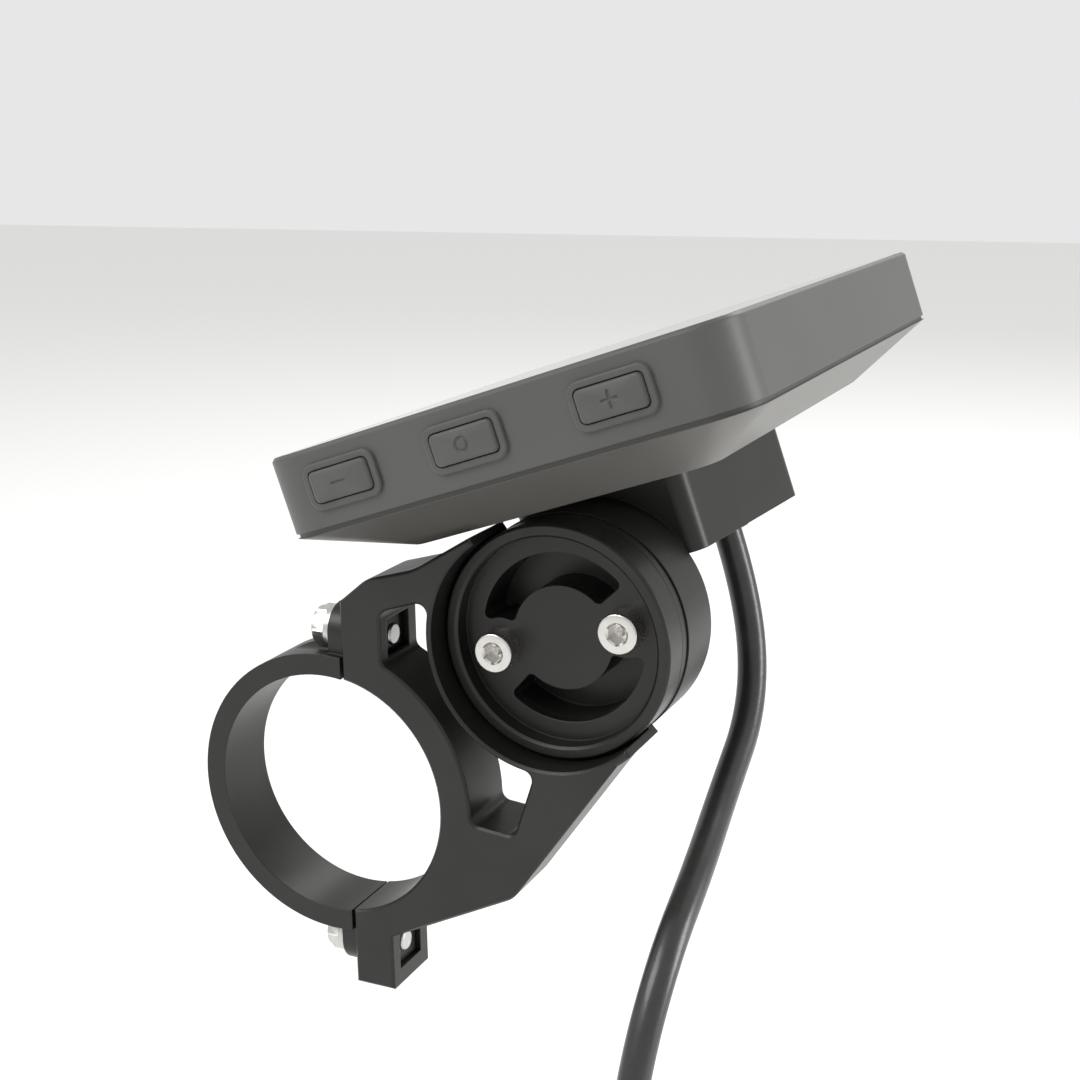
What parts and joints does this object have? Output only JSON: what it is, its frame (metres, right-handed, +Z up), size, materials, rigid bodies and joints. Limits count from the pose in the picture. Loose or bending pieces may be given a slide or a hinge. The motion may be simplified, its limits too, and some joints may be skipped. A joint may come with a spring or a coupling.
{
  "type": "cycling computer",
  "caption": "Flat rectangular handlebar display with side buttons, on a tilting drum mount and split bar clamp, with a hanging lead.",
  "frame": {"origin": "centre of the handlebar clamp's bore, at the middle of the bracket plate's thickness", "axes": "+Y along the handlebar and the tilt axis, away from the button side; +X towards the front wheel; +Z up"},
  "size_m": [0.0843, 0.1048, 0.1971],
  "materials": {
    "black_anodised": "satin black anodised, machined",
    "zinc_steel": "bright zinc-plated steel",
    "black_oxide": "black oxide steel",
    "stainless": "stainless steel screw heads",
    "bearing_plastic": "plain low-friction plastic",
    "seal_rubber": "soft matt seal",
    "housing_plastic": "fine matt texture, dark grey",
    "cover_plastic": "fine matt texture, dark grey",
    "black_glass": "glossy black-printed glass",
    "lcd": "dark unlit liquid-crystal panel",
    "white_plastic": "white moulded plastic",
    "circuit_board": "green solder mask",
    "chip_plastic": "black moulded components",
    "brass_inserts": "turned brass",
    "button_rubber": "matt silicone rubber",
    "lead_jacket": "semi-gloss black cable jacket",
    "plug_plastic": "dark grey overmould"
  },
  "bodies": {
    "bracket": {"bracket_body": "black_anodised", "clamp_cap": "black_anodised", "clamp_bolts": "zinc_steel", "spring_washers": "zinc_steel", "flat_washers": "zinc_steel", "square_nuts": "black_oxide", "pivot_bush": "bearing_plastic", "front_friction_washer": "bearing_plastic", "rear_friction_washer": "bearing_plastic"},
    "head": {"tilt_hub": "black_anodised", "drum_cap": "black_anodised", "cap_screws": "stainless", "foot_screws": "stainless", "foot_seal": "seal_rubber", "display_housing": "housing_plastic", "cover_glass": "black_glass", "glass_adhesive": "seal_rubber", "lcd_panel": "lcd", "backlight_tray": "white_plastic", "main_board": "circuit_board", "board_chips": "chip_plastic", "board_screws": "stainless", "board_standoffs": "brass_inserts", "lead_header": "white_plastic", "switch_board": "circuit_board", "tact_switches": "chip_plastic", "button_seals": "button_rubber", "back_cover": "cover_plastic", "cover_gasket": "seal_rubber", "cover_screws": "stainless", "lead_grommet": "seal_rubber", "lead_tail": "lead_jacket", "lead": "lead_jacket", "plug_body": "plug_plastic", "plug_insert": "plug_plastic", "plug_pins": "brass_inserts", "plug_ring": "plug_plastic"},
    "left_button": {"button_left": "button_rubber"},
    "middle_button": {"button_middle": "button_rubber"},
    "right_button": {"button_right": "button_rubber"}
  },
  "joints": [
    {"name": "tilt", "type": "hinge", "parent": "bracket", "child": "head", "pos_m": [0.0333, 0, 0.02505], "axis": [0, 1, 0], "range_deg": [-3, 25]},
    {"name": "left_press", "type": "slide", "parent": "head", "child": "left_button", "axis": [0, 1, 0], "range_m": [0, 0.0005], "stiffness_N_per_m": 3000, "springref_m": -0.0002},
    {"name": "middle_press", "type": "slide", "parent": "head", "child": "middle_button", "axis": [0, 1, 0], "range_m": [0, 0.0005], "stiffness_N_per_m": 3000, "springref_m": -0.0002},
    {"name": "right_press", "type": "slide", "parent": "head", "child": "right_button", "axis": [0, 1, 0], "range_m": [0, 0.0005], "stiffness_N_per_m": 3000, "springref_m": -0.0002}
  ]
}
